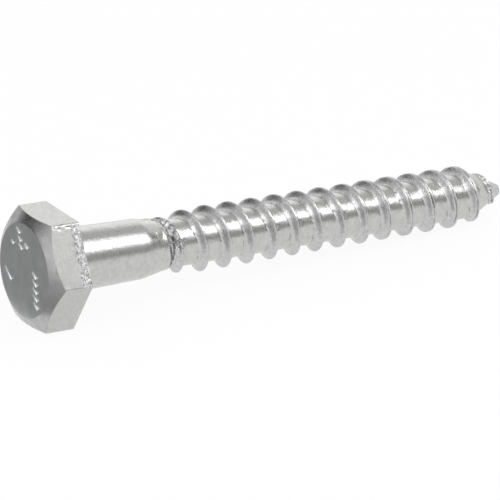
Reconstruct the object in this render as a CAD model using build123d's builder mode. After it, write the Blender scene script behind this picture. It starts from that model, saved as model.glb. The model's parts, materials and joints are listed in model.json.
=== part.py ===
from build123d import *
from math import atan2, cos, floor, pi, radians, sin, tan
import os

# A hexagon-head lag screw, forged and rolled from one piece of steel wire: a low head
# that sits a little off the shank's axis, a plain shank, a short tapered neck and a coarse
# right-hand wood thread that winds down to a blunt gimlet point.
#
# The screw lies on its side, as it comes to rest: on the edge of one head flat and on
# one thread crest. The origin is where the shank's axis leaves the bearing face, +X runs
# from the head to the point and +Z is up. Sizes are in millimetres. A station is a
# distance along the shank's axis from the bearing face.

# Head
across_flats = 13.0
head_height = 4.65
face_diameter = 11.0
head_chamfer_angle = 30.0
head_corner_radius = 0.45
# How far the forged head sits below the shank's axis
head_offset = 0.4

# Shank and neck
shank_length = 10.2
shank_diameter_at_head = 7.5
shank_diameter_at_neck = 7.0
neck_length = 3.6

# Core and point
screw_length = 60.7
core_diameter = 5.6
point_length = 4.7
tip_diameter = 1.1
tip_edge = 0.25

# Thread ridge: the heights are of its crest over the core
thread_pitch = 3.16
ridge_height_at_neck = 1.0
ridge_height_at_point = 0.78
ridge_height_on_cone = 0.3
crest_width = 0.2
flank_angle = 24.5
run_in_lead = 1.8
run_in_length = 7.2
drop_length = 2.5
tip_clearance = 0.6
fade_length = 0.8
# Turn of the crest about the axis at station 0, from straight up, clockwise from behind
thread_phase = 252.0
steps_per_turn = 6
root_depth = 0.3

neck_end = shank_length + neck_length
point_start = screw_length - point_length
thread_start = neck_end - run_in_lead
thread_end = screw_length - tip_clearance


def between(start, end, share):
    """The value a share of the way from start to end, held at both ends."""
    return start + (end - start) * min(max(share, 0), 1)


def core_radius(station):
    """Radius of the core under the thread, and of the cone of the point."""
    on_cone = (station - point_start) / point_length
    return between(core_diameter, tip_diameter, on_cone) / 2


def ridge_height(station):
    """Height of the crest over the core: it grows at the neck and drops on to the cone."""
    on_thread = (station - neck_end) / (point_start - neck_end)
    full = between(ridge_height_at_neck, ridge_height_at_point, on_thread)
    still_to_grow = between(1, 0, (station - thread_start) / run_in_length)
    grown = full * (1 - still_to_grow**2)
    dropped = between(0, 1, (station - point_start) / drop_length + 0.5)
    faded = between(0, 1, (station - thread_end) / fade_length + 1)
    return between(between(grown, ridge_height_on_cone, dropped), -root_depth / 2, faded)


def ridge_section(station):
    """Corners of the ridge's section as (station, radius), from the head side round."""
    slope = tan(radians(flank_angle))
    crest = core_radius(station) + ridge_height(station)
    crest_half = crest_width / 2
    base_half = crest_half + (max(ridge_height(station), 0) + root_depth) * slope
    return [
        (station - base_half, core_radius(station - base_half) - root_depth),
        (station - crest_half, crest),
        (station + crest_half, crest),
        (station + base_half, core_radius(station + base_half) - root_depth),
    ]


# The screw comes to rest on the bearing edge of a head flat and on the first crest
# that meets the surface as its point sinks.
first_low_crest = (180 - thread_phase) / 360 * thread_pitch
low_crests = [
    first_low_crest + turn * thread_pitch
    for turn in range(floor(point_start / thread_pitch) + 1)
]
head_bottom = head_offset + across_flats / 2
rest_angle = min(
    atan2(head_bottom - core_radius(station) - ridge_height(station), station + crest_width / 2)
    for station in low_crests
    if station > thread_start
)
head_to_point = Vector(cos(rest_angle), 0, -sin(rest_angle))
head_up = Vector(sin(rest_angle), 0, cos(rest_angle))
screw_axis = Axis((0, 0, 0), head_to_point)
head_centre = -head_up * head_offset
head_axis = Axis(head_centre, head_to_point)

# Local x of the cross planes points up and local z to the tip. Local x of the long planes
# runs along the axis.
cross_plane = Plane(origin=(0, 0, 0), x_dir=head_up, z_dir=head_to_point)
long_plane = Plane(origin=(0, 0, 0), x_dir=head_to_point, z_dir=(0, -1, 0))
head_cross_plane = Plane(origin=head_centre, x_dir=head_up, z_dir=head_to_point)
head_long_plane = Plane(origin=head_centre, x_dir=head_to_point, z_dir=(0, -1, 0))


def ridge_point(station_at_crest, corner):
    """A corner of the ridge's section, where the crest is at a station."""
    station, radius = ridge_section(station_at_crest)[corner]
    angle = radians(thread_phase) + 2 * pi * station_at_crest / thread_pitch
    return cross_plane.from_local_coords(Vector(radius * cos(angle), radius * sin(angle), station))


def ridge_strand(start, end, corner):
    """The path of one corner of the ridge's section over one turn or less."""
    steps = max(2, round(steps_per_turn * (end - start) / thread_pitch))
    stations = [start + (end - start) * step / steps for step in range(steps + 1)]
    reach = thread_pitch / 1000
    tangents = [
        ridge_point(station + reach, corner) - ridge_point(station - reach, corner)
        for station in (start, end)
    ]
    points = [ridge_point(station, corner) for station in stations]
    return Spline(points, tangents=tangents, tangent_scalars=(1, 1))


with BuildPart() as lag_screw:
    # Head: a hexagonal prism, turned to a cone and a round face on the far side
    with BuildSketch(head_cross_plane):
        RegularPolygon(radius=across_flats / 2, side_count=6, major_radius=False, rotation=30)
    extrude(amount=-head_height)
    corner_edges = lag_screw.edges().filter_by(head_axis)
    fillet(corner_edges, radius=head_corner_radius)
    with BuildSketch(head_long_plane):
        with BuildLine():
            cone_radius = across_flats
            cone_drop = (cone_radius - face_diameter / 2) * tan(radians(head_chamfer_angle))
            Polyline(
                (-head_height, 0),
                (-head_height, face_diameter / 2),
                (cone_drop - head_height, cone_radius),
                (head_height, cone_radius),
                (head_height, 0),
                close=True,
            )
        make_face()
    revolve(axis=head_axis, mode=Mode.INTERSECT)

    # Shank, neck, core and point: one turned profile, rooted in the head
    with BuildSketch(long_plane):
        with BuildLine():
            Polyline(
                (-head_height / 2, 0),
                (-head_height / 2, shank_diameter_at_head / 2),
                (0, shank_diameter_at_head / 2),
                (shank_length, shank_diameter_at_neck / 2),
                (neck_end, core_diameter / 2),
                (point_start, core_diameter / 2),
                (screw_length - tip_edge, core_radius(screw_length - tip_edge)),
                (screw_length, tip_diameter / 2 - tip_edge),
                (screw_length, 0),
                close=True,
            )
        make_face()
    revolve(axis=screw_axis)

    # Thread ridge: for each turn, strips between the paths of neighbouring corners
    turns = floor((thread_end - thread_start) / thread_pitch)
    turn_stations = [thread_start + turn * thread_pitch for turn in range(turns + 1)]
    turn_stations.append(thread_end)
    corners = range(len(ridge_section(thread_start)))
    strips = []
    with BuildLine(mode=Mode.PRIVATE):
        for start, end in zip(turn_stations, turn_stations[1:]):
            strands = [ridge_strand(start, end, corner) for corner in corners]
            for corner in corners:
                strips.append(Face.make_surface_from_curves(strands[corner], strands[corner - 1]))
    caps = [
        Face(Wire.make_polygon([ridge_point(station, corner) for corner in corners]))
        for station in (thread_start, thread_end)
    ]
    add(Solid(Shell(strips + caps)))

lag_screw.part.label = "lag_screw"

os.makedirs("parts", exist_ok=True)
export_step(lag_screw.part, "parts/lag_screw.step")
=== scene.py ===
import json
from math import atan2, ceil, cos, exp, pi, radians, sin, sqrt, tan

import bpy
from mathutils import Matrix, Vector, noise


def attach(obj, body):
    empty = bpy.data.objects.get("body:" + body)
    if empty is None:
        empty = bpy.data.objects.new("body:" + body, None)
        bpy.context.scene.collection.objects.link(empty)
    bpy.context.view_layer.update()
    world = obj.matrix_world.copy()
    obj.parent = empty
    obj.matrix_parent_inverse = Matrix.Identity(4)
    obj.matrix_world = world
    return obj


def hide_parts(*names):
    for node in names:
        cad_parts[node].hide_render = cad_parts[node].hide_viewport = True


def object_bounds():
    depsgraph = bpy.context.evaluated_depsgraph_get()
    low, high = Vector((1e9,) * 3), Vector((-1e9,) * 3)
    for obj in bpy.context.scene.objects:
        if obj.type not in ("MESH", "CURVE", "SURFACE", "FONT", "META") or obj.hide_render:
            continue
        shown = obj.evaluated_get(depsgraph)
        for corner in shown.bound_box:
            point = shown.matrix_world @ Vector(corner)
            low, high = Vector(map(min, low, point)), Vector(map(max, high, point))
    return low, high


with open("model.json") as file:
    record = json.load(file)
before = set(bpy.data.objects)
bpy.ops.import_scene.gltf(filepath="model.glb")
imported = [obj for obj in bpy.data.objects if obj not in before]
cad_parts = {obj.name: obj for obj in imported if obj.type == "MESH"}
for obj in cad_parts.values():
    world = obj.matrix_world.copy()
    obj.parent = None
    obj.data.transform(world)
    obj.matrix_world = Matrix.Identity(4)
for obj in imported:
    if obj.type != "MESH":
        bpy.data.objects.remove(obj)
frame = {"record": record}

cad_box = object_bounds()

# Rod: the shank, neck, thread and gimlet point, of one length of drawn steel wire. The
# thread is rolled into it, which leaves rounded crests, soft roots and small laps, and all
# of the screw is plated with bright zinc.

# Stations are millimetres along the axis from the face under the head, and turns go about
# the axis from straight up towards the near side
shank_length = 10.2
shank_radius_at_head = 3.75
shank_radius_at_neck = 3.5
underhead_flare = 0.35
neck_end = 13.8
core_radius = 2.8
point_start = 56.0
screw_length = 60.7
tip_radius = 0.52
tip_edge = 0.35
tip_edge_drop = 0.3
smooth_tip = 0.2
# Changes of slope are eased over this distance to each side
shank_ease = 0.3
core_ease = 0.5
core_ease_start = neck_end - 1

# Thread, with the heights of its crest over the core
pitch = 3.16
crest_turn_at_seat = radians(252.0)
thread_start = 12.0
run_in_length = 7.2
ridge_height_at_neck = 1.0
ridge_height_at_point = 0.78
ridge_height_on_cone = 0.3
drop_length = 2.5
thread_end = 60.1
fade_length = 0.8
height_past_end = -0.3
crest_half_width = 0.04
worn_crest_half_width = 0.19
crest_round = 0.06
flank_slope = tan(radians(25.0))
root_round_to_head = 0.48
root_round_to_point = 0.3
least_root_share = 0.25

# A line one pitch long, with close rows at the crest, the root corners and the groove before
# them, is wound along the axis, and the turns past each end close it
around = 90
crest_rows = 5
flank_rows = 4
corner_rows = 6
groove_rows = 13
root_rows = 5
crest_zone = 0.2
flank_zone = 0.23
corner_zone = 0.40
groove_zone = 0.95
rod_start = -1.5
spare_turns = 2
closing_length = 0.5
pole_radius = 0.03
weld_distance = 0.001
crest_station = -crest_turn_at_seat / (2 * pi) * pitch
flank_steps = [flank_zone / flank_rows] * flank_rows
corner_steps = [corner_zone / corner_rows] * corner_rows
ridge_steps = corner_steps + flank_steps + [crest_zone / crest_rows] * crest_rows
ridge_steps += flank_steps + corner_steps
root_steps = [(pitch - groove_zone - sum(ridge_steps)) / root_rows] * root_rows
row_steps = [groove_zone / groove_rows] * groove_rows + ridge_steps + root_steps
first_row = crest_station - groove_zone - sum(ridge_steps) / 2
first_station = first_row - (ceil((first_row - rod_start) / pitch) + spare_turns) * pitch
turns = ceil((screw_length - first_station) / pitch) + spare_turns

bpy.ops.object.select_all(action="DESELECT")
bpy.ops.mesh.primitive_plane_add(size=1.0, location=(0, 0, 0))
rod = bpy.context.object
rod.name = "forged_screw"
bpy.ops.object.mode_set(mode="EDIT")
bpy.ops.mesh.merge(type="CENTER")
bpy.ops.transform.translate(value=(first_station, 0, core_radius))
for step in row_steps:
    bpy.ops.mesh.extrude_region_move(TRANSFORM_OT_translate={"value": (step, 0, 0)})
bpy.ops.object.mode_set(mode="OBJECT")
winding = rod.modifiers.new("winding", "SCREW")
winding.axis = "X"
winding.angle = 2 * pi
winding.screw_offset = pitch
winding.iterations = turns
winding.steps = around
winding.render_steps = around
winding.use_merge_vertices = False
bpy.ops.object.modifier_apply(modifier="winding")


def between(start, end, share):
    """The value a share of the way from start to end, held at both ends."""
    return start + (end - start) * min(max(share, 0), 1)


def soft_step(share):
    """Rises softly from 0 to 1 as share does."""
    share = min(max(share, 0), 1)
    return share * share * (3 - 2 * share)


def soft_max(first, second, reach):
    """The larger of two heights, with the corner between them filleted."""
    overlap = max(reach - abs(first - second), 0)
    return max(first, second) + overlap * overlap / (4 * reach)


def turned_radius(station):
    """Radius of the rod with no thread on it, with straight slopes."""
    if station < shank_length:
        return between(shank_radius_at_head, shank_radius_at_neck, station / shank_length)
    if station < point_start:
        on_neck = (station - shank_length) / (neck_end - shank_length)
        return between(shank_radius_at_neck, core_radius, on_neck)
    on_cone = (station - point_start) / (screw_length - point_start)
    return between(core_radius, tip_radius, on_cone)


def rod_radius(station):
    """Radius of the rod with no thread on it, eased where the slope changes."""
    ease = shank_ease if station < core_ease_start else core_ease
    eased = sum(turned_radius(station + ease * part) for part in (-1, -0.5, 0, 0.5, 1)) / 5
    flare = max(1 - max(station, 0) / underhead_flare, 0)
    past_edge = max(1 - (screw_length - station) / tip_edge, 0)
    return eased + underhead_flare * flare * flare - tip_edge_drop * min(past_edge, 1) ** 2


def ridge_height(station):
    """Height of the crest over the rod: it grows at the neck and drops on to the cone."""
    on_thread = (station - neck_end) / (point_start - neck_end)
    full = between(ridge_height_at_neck, ridge_height_at_point, on_thread)
    still_to_grow = between(1, 0, (station - thread_start) / run_in_length)
    grown = full * (1 - still_to_grow**2)
    dropped = soft_step((station - point_start) / drop_length + 0.5)
    faded = between(0, 1, (station - thread_end) / fade_length + 1)
    return between(between(grown, ridge_height_on_cone, dropped), height_past_end, faded)


def bell(distance, width):
    """A smooth bump, 1 at no distance and next to nothing past the width."""
    return exp(-4 * (distance / width) ** 2)


def humps(spot, height, grain):
    """Even random unevenness, from about minus to plus a height, with humps a grain apart."""
    noise_to_height = 1.6
    return height * (noise_to_height * noise.noise(spot / grain))


def within(turn, start, end):
    """A soft window over the turns from start to end, in degrees."""
    soft_edge = 0.15
    return soft_step((turn - radians(start)) / soft_edge) * soft_step((radians(end) - turn) / soft_edge)


# The torn patch, where the dies first bit: it slants over the top of the rod, and follows the
# thread down the near side
torn_station = 13.75
torn_turn = radians(33.0)
torn_lead = 1.55
torn_lead_below = 0.5
torn_width = 1.0
torn_window = (-35, 88)


def torn_share(station, turn):
    """How far a spot lies inside the torn patch."""
    lead = torn_lead if turn < torn_turn else torn_lead_below
    into_torn = station - torn_station - lead * (turn - torn_turn)
    return bell(into_torn, torn_width) * within(turn, *torn_window)


# The end of the neck is swollen there, with a groove and a hollow past it. Each of these has a
# height, a distance past the shoulder, a width, and the turns in degrees that it runs between
shoulder_station = 12.95
shoulder_turn = radians(80.0)
shoulder_lead = 0.54
groove_depth = 0.42
groove_width = 0.22
shoulder_marks = [
    (0.07, -0.3, 0.7, 20, 155),
    (-groove_depth, 0.1, groove_width, 66, 155),
    (-0.12, 0.35, 0.5, 20, 70),
]
# A second groove runs straight round, and both start beside a hole, whose widths along and
# around the rod are in millimetres
groove_station = 13.56
groove_window = (45, 122)
hole_station = 13.65
hole_turn = radians(57.0)
hole_from_axis = 3.0
hole_depth = 0.3
hole_along = 0.3
hole_around = 0.4


def thread_birth(station, turn):
    """Height of what the thread's start leaves on the end of the neck."""
    past_shoulder = station - shoulder_station - shoulder_lead * max(turn - shoulder_turn, 0)
    birth = 0
    for height, past, width, first_turn, last_turn in shoulder_marks:
        birth += height * bell(past_shoulder - past, width) * within(turn, first_turn, last_turn)
    groove = bell(station - groove_station, groove_width) * within(turn, *groove_window)
    from_hole = hole_from_axis * (turn - hole_turn)
    hole = bell(station - hole_station, hole_along) * bell(from_hole, hole_around)
    return birth - groove_depth * groove - hole_depth * hole


# Unevenness, each as a height and the distance between humps
shank_waves = (0.004, 2.6)
thread_dents = (0.006, 0.9)
fine_dents = (0.003, 0.4)
coarse_tears = (0.16, 0.5)
fine_tears = (0.22, 0.28)
# Pits where the cold metal didn't fill the corners of the root
pit_depth = 0.09
pit_grain = 0.4
pit_threshold = 0.36
pit_wall = 0.15
pit_from_crest = 0.7
pit_band = 0.45
# A lap line runs along the root's corner to the head, over the top of the rod
lap_depth = 0.05
lap_width = 0.15
lap_from_crest = -0.69
lap_growth = 3
lap_window = (-75, 72)
# The crest is worn flat further on, with a seam along it
wear_start = 35.0
wear_growth = 8
seam_depth = 0.18
seam_width = 0.17
seam_changes = (0.6, 0.8)
wear_scratches = (0.015, 0.35)
scratch_band = 0.7
# The point is rougher, most of all on its ridge
rough_start = 54
rough_growth = 4
rough_core_share = 0.4
rough_ridge_share = 0.9
rough_band = 0.8
point_humps = (0.08, 0.32)
noise_radius = 4


def worn_share(station):
    """How far the crest is worn."""
    return between(0, 1, (station - wear_start) / wear_growth)


def unevenness(station, turn, from_crest):
    """What rolling and handling leave on the rod: waves, dents, pits, tears and laps."""
    spot = Vector((station, -noise_radius * sin(turn), noise_radius * cos(turn)))
    uneven = humps(spot, *shank_waves)
    if station < shank_length:
        return uneven
    at_root = bell(abs(from_crest) - pit_from_crest, pit_band)
    pit_noise = noise.noise(spot / pit_grain + Vector((7, 3, 1)))
    pits = -pit_depth * at_root * soft_step((pit_noise - pit_threshold) / pit_wall)
    uneven += pits + humps(spot, *thread_dents) + humps(spot, *fine_dents)
    tear = humps(spot, *coarse_tears) + humps(spot, *fine_tears)
    uneven += torn_share(station, turn) * tear + thread_birth(station, turn)
    grown = between(0, 1, (station - neck_end) / lap_growth)
    lap = lap_depth * grown * bell(from_crest - lap_from_crest, lap_width)
    uneven -= lap * within(turn, *lap_window)
    worn = worn_share(station)
    uneven -= seam_depth * worn * bell(from_crest, seam_width) * (1 + humps(spot, *seam_changes))
    uneven += worn * humps(spot, *wear_scratches) * bell(from_crest, scratch_band)
    rough = between(0, 1, (station - rough_start) / rough_growth)
    rough *= rough_core_share + rough_ridge_share * bell(from_crest, rough_band)
    return uneven + rough * humps(spot, *point_humps)


def rod_surface(station, turn):
    """Radius of the finished rod at a station and a turn about the axis."""
    bare = rod_radius(station)
    crests_back = round((turn - crest_turn_at_seat) / (2 * pi) - station / pitch)
    crest = pitch * ((turn - crest_turn_at_seat) / (2 * pi) - crests_back)
    surface = bare
    if crest > thread_start:
        flat = between(crest_half_width, worn_crest_half_width, worn_share(station))
        over = max(abs(station - crest) - flat, 0)
        drop = (sqrt(over * over + crest_round * crest_round) - crest_round) / flank_slope
        crest_radius = rod_radius(crest) + ridge_height(crest)
        fillet = root_round_to_head if station < crest else root_round_to_point
        fillet *= between(least_root_share, 1, ridge_height(crest) / ridge_height_at_point)
        surface = soft_max(bare, crest_radius - drop, fillet)
    if station < 0 or station > screw_length - smooth_tip:
        return surface
    return surface + unevenness(station, turn, station - crest)


for vertex in rod.data.vertices:
    station, across, up = vertex.co
    turn = atan2(-across, up)
    on_rod = min(max(station, rod_start), screw_length)
    radius = rod_surface(on_rod, turn) * max(1 - abs(station - on_rod) / closing_length, 0)
    if radius < pole_radius:
        radius = 0
    vertex.co = (on_rod, -radius * sin(turn), radius * cos(turn))

bpy.ops.object.mode_set(mode="EDIT")
bpy.ops.mesh.select_all(action="SELECT")
bpy.ops.mesh.remove_doubles(threshold=weld_distance)
bpy.ops.mesh.normals_make_consistent(inside=False)
bpy.ops.object.mode_set(mode="OBJECT")

# Head: a hexagon, chamfered to a round face. It is upset cold from the end of the wire and
# trimmed by a hexagonal die, so its corners are soft, it sits a little below the shank's
# axis, and its rim under the near flat is torn.
across_flats = 13.0
head_height = 4.65
head_offset = 0.4
face_radius = 5.5
chamfer_slope = tan(radians(30.0))
corner_radius = 0.25
sixth_turn = pi / 3
face_rings = 8
chamfer_rings = 10
side_rings = 28
seat_rings = 6
head_around = 288

# A line with one stretch for each stage of the head's outline is spun about the axis: the
# face up to 1, the chamfer up to 2, the side up to 3 and the seat up to 4
bpy.ops.object.select_all(action="DESELECT")
bpy.ops.mesh.primitive_plane_add(size=1.0, location=(0, 0, 0))
head = bpy.context.object
head.name = "head_blank"
bpy.ops.object.mode_set(mode="EDIT")
bpy.ops.mesh.merge(type="CENTER")
bpy.ops.transform.translate(value=(0, 0, 1))
for rings in (face_rings, chamfer_rings, side_rings, seat_rings):
    for ring in range(rings):
        bpy.ops.mesh.extrude_region_move(TRANSFORM_OT_translate={"value": (1 / rings, 0, 0)})
bpy.ops.object.mode_set(mode="OBJECT")
spinning = head.modifiers.new("spinning", "SCREW")
spinning.axis = "X"
spinning.steps = head_around
spinning.render_steps = head_around
spinning.use_merge_vertices = False
bpy.ops.object.modifier_apply(modifier="spinning")


def from_flat(turn):
    """How far a turn is from the middle of the nearest flat."""
    return (turn + sixth_turn / 2) % sixth_turn - sixth_turn / 2


def hexagon_radius(turn):
    """Distance from the head's axis to its side, with rounded corners."""
    from_corner = turn % sixth_turn - sixth_turn / 2
    corner_centre = (across_flats / 2 - corner_radius) / cos(sixth_turn / 2)
    sideways = corner_centre * sin(from_corner)
    if abs(sideways) > corner_radius / 2:
        return across_flats / 2 / cos(from_flat(turn))
    return corner_centre * cos(from_corner) + sqrt(corner_radius**2 - sideways**2)


def edged(share):
    """Brings the rings of a stage closer together at both its ends."""
    return (1 - cos(pi * min(max(share, 0), 1))) / 2


# The near flat is sheared over a strip along its bearing edge, with a crack where the strip
# begins. Both fade on the upper flat, and chips are off the corner between the two flats.
# Reaches around the axis are in radians.
near_flat_turn = radians(60)
near_flat_reach = 0.52
upper_flat_share = 0.35
upper_flat_reach = 0.3
strip_height = 1.15
strip_edge = 0.12
strip_depth = 0.04
coarse_strip = (0.05, 0.36)
fine_strip = (0.05, 0.22)
crack_height = 1.06
crack_depth = 0.3
crack_width = 0.15
crack_changes = (1.0, 0.7)
coarse_mottle = (0.004, 0.9)
fine_mottle = (0.002, 0.4)
chip_turn = radians(32)
chip_reach = 0.1
chip_depth = 0.12
chip_humps = (1.0, 0.3)
chip_threshold = 0.1


def torn_rim(station, turn, spot):
    """Dents of the flats, and the sheared strip along the bearing edge."""
    near_flat = bell(turn - near_flat_turn, near_flat_reach)
    near_flat += upper_flat_share * bell(turn, upper_flat_reach)
    crack = -crack_depth * near_flat * bell(station + crack_height, crack_width)
    crack *= 1 + humps(spot, *crack_changes)
    mottle = humps(spot, *coarse_mottle) + humps(spot, *fine_mottle)
    chipped = max(humps(spot, *chip_humps) - chip_threshold, 0)
    chips = -chip_depth * chipped * bell(turn - chip_turn, chip_reach)
    strip = near_flat * soft_step((station + strip_height) / strip_edge)
    strip *= humps(spot, *coarse_strip) + humps(spot, *fine_strip) - strip_depth
    return mottle + crack + chips + strip


# The grid's lines are drawn together at the corners, and stand clear of the rod's lines
line_shift = 0.3 * 2 * pi / head_around
line_pull = 0.1
# The bearing edge waves along the axis too, by a share of such unevenness
edge_wave_share = 0.25
edge_wave_lowest = -0.1
elsewhere = Vector((9, 0, 0))
for vertex in head.data.vertices:
    stage, across, up = vertex.co
    even_turn = atan2(-across, up) + line_shift
    turn = even_turn + line_pull * sin(6 * even_turn)
    side = hexagon_radius(turn)
    chamfer_end = (side - face_radius) * chamfer_slope - head_height
    if stage <= 1:
        station, radius = -head_height, face_radius * sin(pi / 2 * stage)
    elif stage <= 2:
        radius = between(face_radius, side, edged(stage - 1))
        station = (radius - face_radius) * chamfer_slope - head_height
    elif stage <= 3:
        station, radius = between(chamfer_end, 0, edged(stage - 2)), side
        spot = Vector((station, -radius * sin(turn), radius * cos(turn)))
        edge_wave = max(torn_rim(station, turn, spot + elsewhere), edge_wave_lowest)
        radius += torn_rim(station, turn, spot)
        station += edge_wave_share * edge_wave * edged(stage - 2)
    else:
        station, radius = 0, between(side, 0, stage - 3)
    vertex.co = (station, -radius * sin(turn), radius * cos(turn) - head_offset)

bpy.ops.object.mode_set(mode="EDIT")
bpy.ops.mesh.select_all(action="SELECT")
bpy.ops.mesh.remove_doubles(threshold=weld_distance)
bpy.ops.mesh.normals_make_consistent(inside=False)
bpy.ops.mesh.vertices_smooth(factor=0.5, repeat=1)
bpy.ops.object.mode_set(mode="OBJECT")

# Plain dashes stand proud of the face in a few rows, each with its place to the near side and
# up from the head's axis, and its length
dash_width = 0.36
dash_relief = 0.24
dash_rounding = 0.14
dash_lean = radians(-54)
dashes = [(-3.25, -1.4, 2.0)]
dashes += [(-1.5 + 0.35 * step, 4.35 - 0.85 * step, 1.0) for step in range(3)]
dashes += [(0.4, 3.1, 0.9), (-2.6, 2.6, 0.7)]
dashes += [(2.5 + 0.16 * step, 0.3 - 0.86 * step, 1.15) for step in range(5)]
bpy.ops.object.select_all(action="DESELECT")
struck = []
for near, high, length in dashes:
    bpy.ops.mesh.primitive_cube_add(size=1, location=(-head_height, -near, high - head_offset))
    dash = bpy.context.object
    dash.scale = (2 * dash_relief, dash_width, length)
    dash.rotation_euler = (dash_lean, 0, 0)
    bpy.ops.object.transform_apply(location=True, rotation=True, scale=True)
    rounding = dash.modifiers.new("rounding", "BEVEL")
    rounding.width = dash_rounding
    rounding.segments = 3
    bpy.ops.object.modifier_apply(modifier="rounding")
    struck.append(dash)
for dash in struck:
    dash.select_set(True)
bpy.ops.object.join()
marks = bpy.context.object
bpy.ops.object.select_all(action="DESELECT")
head.select_set(True)
bpy.context.view_layer.objects.active = head
striking = head.modifiers.new("striking", "BOOLEAN")
striking.operation = "UNION"
striking.solver = "EXACT"
striking.object = marks
bpy.ops.object.modifier_apply(modifier="striking")
bpy.data.objects.remove(marks)

# The head and the rod are one piece of steel
bpy.ops.object.select_all(action="DESELECT")
rod.select_set(True)
bpy.context.view_layer.objects.active = rod
upsetting = rod.modifiers.new("upsetting", "BOOLEAN")
upsetting.operation = "UNION"
upsetting.solver = "EXACT"
upsetting.object = head
bpy.ops.object.modifier_apply(modifier="upsetting")
bpy.data.objects.remove(head)

# It is laid where the frame has the screw
mounts = {mount["name"]: mount for mount in frame["record"]["mounts"]}
seat = Vector(mounts["seat_centre"]["pos_m"])
along = Vector(mounts["seat_centre"]["axis"])
away = Vector((0, 1, 0))
laid = Matrix((along, away, along.cross(away))).transposed().to_4x4()
metres_in_millimetre = 0.001
rod.matrix_world = Matrix.Translation(seat) @ laid @ Matrix.Scale(metres_in_millimetre, 4)
bpy.ops.object.transform_apply(location=True, rotation=True, scale=True)
bpy.ops.object.shade_smooth_by_angle(angle=radians(35))


def linear(hex_colour):
    """An sRGB hex colour as linear red, green, blue and full cover."""
    shares = [int(hex_colour[place:place + 2], 16) / 255 for place in (0, 2, 4)]
    return tuple(s / 12.92 if s <= 0.04045 else ((s + 0.055) / 1.055) ** 2.4 for s in shares) + (1,)


def add_node(material, kind, settings=None, sockets=None):
    """Adds a node with its settings, and links or sets its sockets."""
    node = material.node_tree.nodes.new(kind)
    for name, value in (settings or {}).items():
        setattr(node, name, value)
    for name, value in (sockets or {}).items():
        if isinstance(value, bpy.types.NodeSocket):
            material.node_tree.links.new(value, node.inputs[name])
        else:
            node.inputs[name].default_value = value
    return node


# Rolling leaves streaks across the axis, 0.22 by 2.9 mm, which show in the tint and the relief
streak_size = (2 / 9, 20 / 7, 20 / 7)
streak_in_tint = 0.4
streak_in_relief = 0.3
millimetres_in_metre = 1000


def plated_steel(name, light, dark, patch, smooth, rough, grit, depth):
    """Bright zinc on steel: patches of two greys, uneven polish, fine grit and rolling streaks."""
    zinc = bpy.data.materials.new(name)
    zinc.use_nodes = True
    zinc.node_tree.nodes.clear()
    here = add_node(zinc, "ShaderNodeTexCoord").outputs["Object"]
    patches = add_node(zinc, "ShaderNodeTexNoise", {}, {
        "Vector": here, "Scale": millimetres_in_metre / patch, "Detail": 4.0,
    })
    drawn_out = add_node(zinc, "ShaderNodeMapping", {}, {
        "Vector": here, "Scale": [millimetres_in_metre / size for size in streak_size],
    })
    streaks = add_node(zinc, "ShaderNodeTexNoise", {}, {
        "Vector": drawn_out.outputs[0], "Scale": 1.0, "Detail": 2.0,
    })
    worn = add_node(zinc, "ShaderNodeMath", {"operation": "MULTIPLY_ADD"}, {
        0: streaks.outputs["Fac"], 1: streak_in_tint, 2: patches.outputs["Fac"],
    })
    share = add_node(zinc, "ShaderNodeMapRange", {}, {
        "Value": worn.outputs[0], "From Min": 0.5, "From Max": 0.9, "To Min": 0.0, "To Max": 1.0,
    })
    tint = add_node(zinc, "ShaderNodeMix", {"data_type": "RGBA"}, {
        0: share.outputs[0], 6: linear(dark), 7: linear(light),
    })
    polish = add_node(zinc, "ShaderNodeMapRange", {}, {
        "Value": share.outputs[0], "To Min": rough, "To Max": smooth,
    })
    grain = add_node(zinc, "ShaderNodeTexNoise", {}, {
        "Vector": here, "Scale": millimetres_in_metre / grit, "Detail": 4.0, "Roughness": 0.6,
    })
    coarse = add_node(zinc, "ShaderNodeTexNoise", {}, {
        "Vector": here, "Scale": millimetres_in_metre / (3 * grit), "Detail": 2.0,
    })
    pitted = add_node(zinc, "ShaderNodeMath", {"operation": "ADD"}, {
        0: coarse.outputs["Fac"], 1: grain.outputs["Fac"],
    })
    height = add_node(zinc, "ShaderNodeMath", {"operation": "MULTIPLY_ADD"}, {
        0: streaks.outputs["Fac"], 1: streak_in_relief, 2: pitted.outputs[0],
    })
    relief = add_node(zinc, "ShaderNodeBump", {}, {
        "Height": height.outputs[0], "Strength": 1.0, "Distance": depth / millimetres_in_metre,
    })
    metal = add_node(zinc, "ShaderNodeBsdfPrincipled", {}, {
        "Base Color": tint.outputs[2], "Metallic": 1.0, "Roughness": polish.outputs[0],
        "Normal": relief.outputs["Normal"],
    })
    add_node(zinc, "ShaderNodeOutputMaterial", {}, {"Surface": metal.outputs["BSDF"]})
    return zinc


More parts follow.
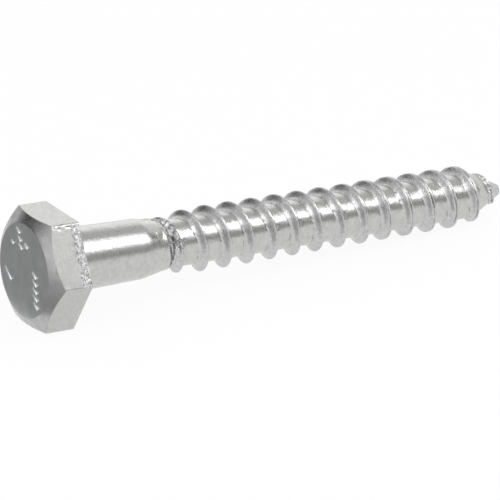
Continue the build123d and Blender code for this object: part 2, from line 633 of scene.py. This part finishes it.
# Each finish has a light and a dark grey, the size of its patches, its smoothest and its
# roughest polish, and the size and the depth of its grit, with sizes in millimetres. Real
# zinc has grains of a few hundredths, too fine to show, so the grit is drawn coarser.
finishes = [
    # Burnished by the dies: long clear highlights with a faint grain
    ("zinc_on_rolled_rod", "C8C8C7", "BEBEBD", 0.6, 0.19, 0.30, 0.15, 0.012),
    # Cut by the trimming die: satin planes that each read as one even grey
    ("zinc_on_trimmed_flats", "C8C8C6", "BEBEBC", 0.4, 0.34, 0.42, 0.18, 0.016),
    # Pressed by the heading tool: a darker, cloudy disc, set off from the ring around it
    ("zinc_on_pressed_face", "BCBDBE", "AEAFB0", 1.5, 0.36, 0.42, 0.25, 0.008),
    # Smoother than the face: a ring that goes from light to dark around the head
    ("zinc_on_turned_chamfer", "BCBCBC", "AEAEAE", 0.8, 0.26, 0.34, 0.20, 0.012),
    # Torn open: dark hollows beside sharp glints, as painted shade in its dark grey and painted glints in
    # its near-white
    ("torn_steel_painted_shade_and_glints", "ECECEC", "5C5E60", 0.3, 0.18, 0.35, 0.14, 0.07),
    # Painted highlight: the marks are tinted near white, so that they stand out brighter than the dull
    # face, as if lit
    ("struck_marks_painted_highlight", "F0F0F0", "D8D8D8", 0.6, 0.15, 0.25, 0.20, 0.010),
    # Dragged along the dies: a livelier grain on the sides of the ridge than on its crest
    ("zinc_on_thread_flanks", "CECECE", "BCBCBC", 0.4, 0.24, 0.34, 0.15, 0.022),
    # Sheared off: a pale, speckled strip along the head's edge, whose near-white specks are painted
    # glints that make it sparkle
    ("torn_rim_with_painted_glints", "ECECEC", "8A8A8A", 0.25, 0.22, 0.36, 0.12, 0.05),
]
rod.data.materials.clear()
for finish in finishes:
    rod.data.materials.append(plated_steel(*finish))
finish_places = {finish[0]: place for place, finish in enumerate(finishes)}

# Where one finish ends and the next begins: stations, parts of a face's normal, and how torn
# or how deeply cut the spot is
marks_end = -0.01 - head_height
face_end = 0.002 - head_height
head_end = 0.01
strip_start = -1.2
rim_start = -1.0
chamfer_facing = -0.4
near_facing = -0.5
flank_facing = -0.5
corner_facing = radians(7)
torn_enough = 0.3
cut_enough = -0.12


def finish_of(face):
    """The finish of a face of the mesh, by where it lies and which way it looks."""
    from_seat = (face.center - seat) / metres_in_millimetre
    station = from_seat.dot(along)
    out = from_seat - along * station
    turn = atan2(-out.y, out.z)
    to_point = face.normal.dot(along)
    # The marks take a painted highlight
    if station < marks_end:
        return "struck_marks_painted_highlight"
    if station < face_end:
        return "zinc_on_pressed_face"
    if station < head_end:
        if to_point < chamfer_facing:
            return "zinc_on_turned_chamfer"
        # The sheared strip takes painted glints, and its lower edge over the crack the torn steel's
        # painted shade
        if station > strip_start and face.normal.y < near_facing and face.normal.z > 0:
            return "torn_rim_with_painted_glints" if station > rim_start else "torn_steel_painted_shade_and_glints"
        if abs(from_flat(atan2(-face.normal.y, face.normal.z))) > corner_facing:
            return "zinc_on_rolled_rod"
        return "zinc_on_trimmed_flats"
    # The torn patch, the grooves and the hole take the torn steel, whose dark grey is painted shade in
    # them
    if torn_share(station, turn) > torn_enough or thread_birth(station, turn) < cut_enough:
        return "torn_steel_painted_shade_and_glints"
    if station > neck_end and to_point < flank_facing:
        return "zinc_on_thread_flanks"
    return "zinc_on_rolled_rod"


for face in rod.data.polygons:
    face.material_index = finish_places[finish_of(face)]
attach(rod, "root")
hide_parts("lag_screw")

# Floor: a plain sheet of white paper under and behind the screw. It is nearly as white as the
# light around it wherever it is seen, and still takes the screw's soft shadow.
floor_level = cad_box[0].z
floor_glow = 0.92
bpy.ops.object.select_all(action="DESELECT")
bpy.ops.mesh.primitive_plane_add(size=4.0, location=(0, 0, floor_level))
floor_sheet = bpy.context.object
floor_sheet.name = "floor_sheet"
# Matt paper: a white that has no edge or highlight of its own
paper = bpy.data.materials.new("white_paper")
paper.use_nodes = True
paper.node_tree.nodes.clear()
rays = add_node(paper, "ShaderNodeLightPath")
seen = add_node(paper, "ShaderNodeMath", {"operation": "ADD"}, {
    0: rays.outputs["Is Camera Ray"], 1: rays.outputs["Is Glossy Ray"],
})
seen = add_node(paper, "ShaderNodeMath", {"operation": "ADD"}, {
    0: seen.outputs[0], 1: rays.outputs["Is Transmission Ray"],
})
glow = add_node(paper, "ShaderNodeMath", {"operation": "MULTIPLY"}, {0: seen.outputs[0], 1: floor_glow})
matt = add_node(paper, "ShaderNodeBsdfDiffuse", {}, {"Color": linear("F2F2F2")})
white = add_node(paper, "ShaderNodeEmission", {}, {"Color": linear("FFFFFF"), "Strength": 1.0})
both = add_node(paper, "ShaderNodeMixShader", {}, {
    0: glow.outputs[0], 1: matt.outputs[0], 2: white.outputs[0],
})
add_node(paper, "ShaderNodeOutputMaterial", {}, {"Surface": both.outputs[0]})
floor_sheet.data.materials.append(paper)

# Studio: a white room, a strip softbox over the near side, and grey cards that give the
# metal something darker to show. Distances and sizes are in metres.
world = bpy.data.worlds.new("white_room")
world.use_nodes = True
world.node_tree.nodes["Background"].inputs["Color"].default_value = linear("FFFFFF")
world.node_tree.nodes["Background"].inputs["Strength"].default_value = 1.0
bpy.context.scene.world = world
middle = (cad_box[0] + cad_box[1]) / 2
card_clearance = 0.0002


def make_card(name, width, height, colour):
    """A matt card in one plain grey, which only gives its tone to what mirrors it."""
    bpy.ops.object.select_all(action="DESELECT")
    bpy.ops.mesh.primitive_plane_add(size=1.0)
    card = bpy.context.object
    card.name = name
    card.scale = (width, height, 1)
    matt_card = bpy.data.materials.new(name)
    matt_card.use_nodes = True
    matt_card.node_tree.nodes.clear()
    shade = add_node(matt_card, "ShaderNodeBsdfDiffuse", {}, {"Color": linear(colour)})
    add_node(matt_card, "ShaderNodeOutputMaterial", {}, {"Surface": shade.outputs[0]})
    card.data.materials.append(matt_card)
    card.visible_camera = False
    return card


def hold_card(name, toward, distance, width, height, colour):
    """Holds a card in a direction from the screw, facing it, out of the camera's sight."""
    direction = Vector(toward).normalized()
    card = make_card(name, width, height, colour)
    card.location = middle + direction * distance
    card.rotation_euler = (-direction).to_track_quat("Z", "Y").to_euler()


# A grey for the near side, and a paler strip between it and the softbox
hold_card("front_card", (0.49, -0.83, 0.23), distance=0.30, width=0.45, height=0.117, colour="B2B2B2")
hold_card("low_card", (0.49, -0.72, 0.48), distance=0.30, width=0.45, height=0.05, colour="DADADA")
# Soft greys for the top of the rod and of the head
hold_card("top_card", (0.49, 0.175, 0.84), distance=0.35, width=0.45, height=0.15, colour="CCCCCC")
hold_card("top_left_card", (-0.50, 0.20, 0.84), distance=0.35, width=0.25, height=0.25, colour="BEBEBE")
# Darks for the ridge's sides to the point, and for the head's face
hold_card("right_card", (0.80, -0.30, 0.52), distance=0.35, width=0.12, height=0.30, colour="505050")
hold_card("back_left_card", (-0.66, 0.74, 0.16), distance=0.40, width=0.30, height=0.24, colour="383838")

# Painted reflection: a grey on the floor beside the head, for its face, that only the metal shows; it
# casts no shadow and lights nothing
floor_card_start = Vector((-0.254, -0.012))
floor_card_end = Vector((-0.0074, 0.248))
floor_card_size = floor_card_end - floor_card_start
floor_reflection_card = make_card("floor_reflection_card", floor_card_size.x, floor_card_size.y, "AEAEAE")
floor_reflection_card.location = ((floor_card_start + floor_card_end) / 2).to_3d()
floor_reflection_card.location.z = floor_level + card_clearance
floor_reflection_card.visible_diffuse = False
floor_reflection_card.visible_shadow = False


def hang_light(name, toward, distance, width, height, brightness, roll=0.0):
    """Hangs a soft light in a direction from the screw, out of the camera's sight."""
    lamp_data = bpy.data.lights.new(name, "AREA")
    lamp_data.shape = "RECTANGLE"
    lamp_data.size = width
    lamp_data.size_y = height
    lamp_data.energy = brightness * pi * width * height
    lamp = bpy.data.objects.new(name, lamp_data)
    bpy.context.scene.collection.objects.link(lamp)
    direction = Vector(toward).normalized()
    lamp.location = middle + direction * distance
    facing_screw = direction.to_track_quat("Z", "Y").to_matrix()
    lamp.rotation_euler = (facing_screw @ Matrix.Rotation(radians(roll), 3, "Z")).to_euler()
    lamp.visible_camera = False


# The bright line along the rod, a second one on the sides of the ridge to the head, and a
# faint light from behind
hang_light("softbox", (0.49, -0.445, 0.749), distance=0.35, width=0.15, height=0.22, brightness=2.6)
hang_light(
    "left_light", (-0.655, -0.45, 0.60), distance=0.35, width=0.36, height=0.12, brightness=2.2, roll=31.0
)
hang_light("back_light", (0.49, 0.78, 0.386), distance=0.45, width=0.30, height=0.30, brightness=0.3)

# Camera: a long lens, well back from the screw, a little above it and toward its head, and
# rolled by half a degree
view_direction = Vector((0.49302, 0.77975, -0.38590))
view_distance = 0.55695
view_centre = Vector((0.025504, 0, -0.0040824))
view_roll = radians(0.4768)
camera_data = bpy.data.cameras.new("camera")
camera_data.sensor_width = 36.0
camera_data.lens = 344.82
camera_data.clip_start = 0.01
camera_data.clip_end = 10.0
camera = bpy.data.objects.new("camera", camera_data)
bpy.context.scene.collection.objects.link(camera)
camera.location = view_centre - view_direction * view_distance
camera.rotation_mode = "QUATERNION"
facing_screw = view_direction.to_track_quat("-Z", "Y").to_matrix()
camera.rotation_quaternion = (facing_screw @ Matrix.Rotation(view_roll, 3, "Z")).to_quaternion()
bpy.context.scene.camera = camera
bpy.context.scene.view_settings.view_transform = "Standard"
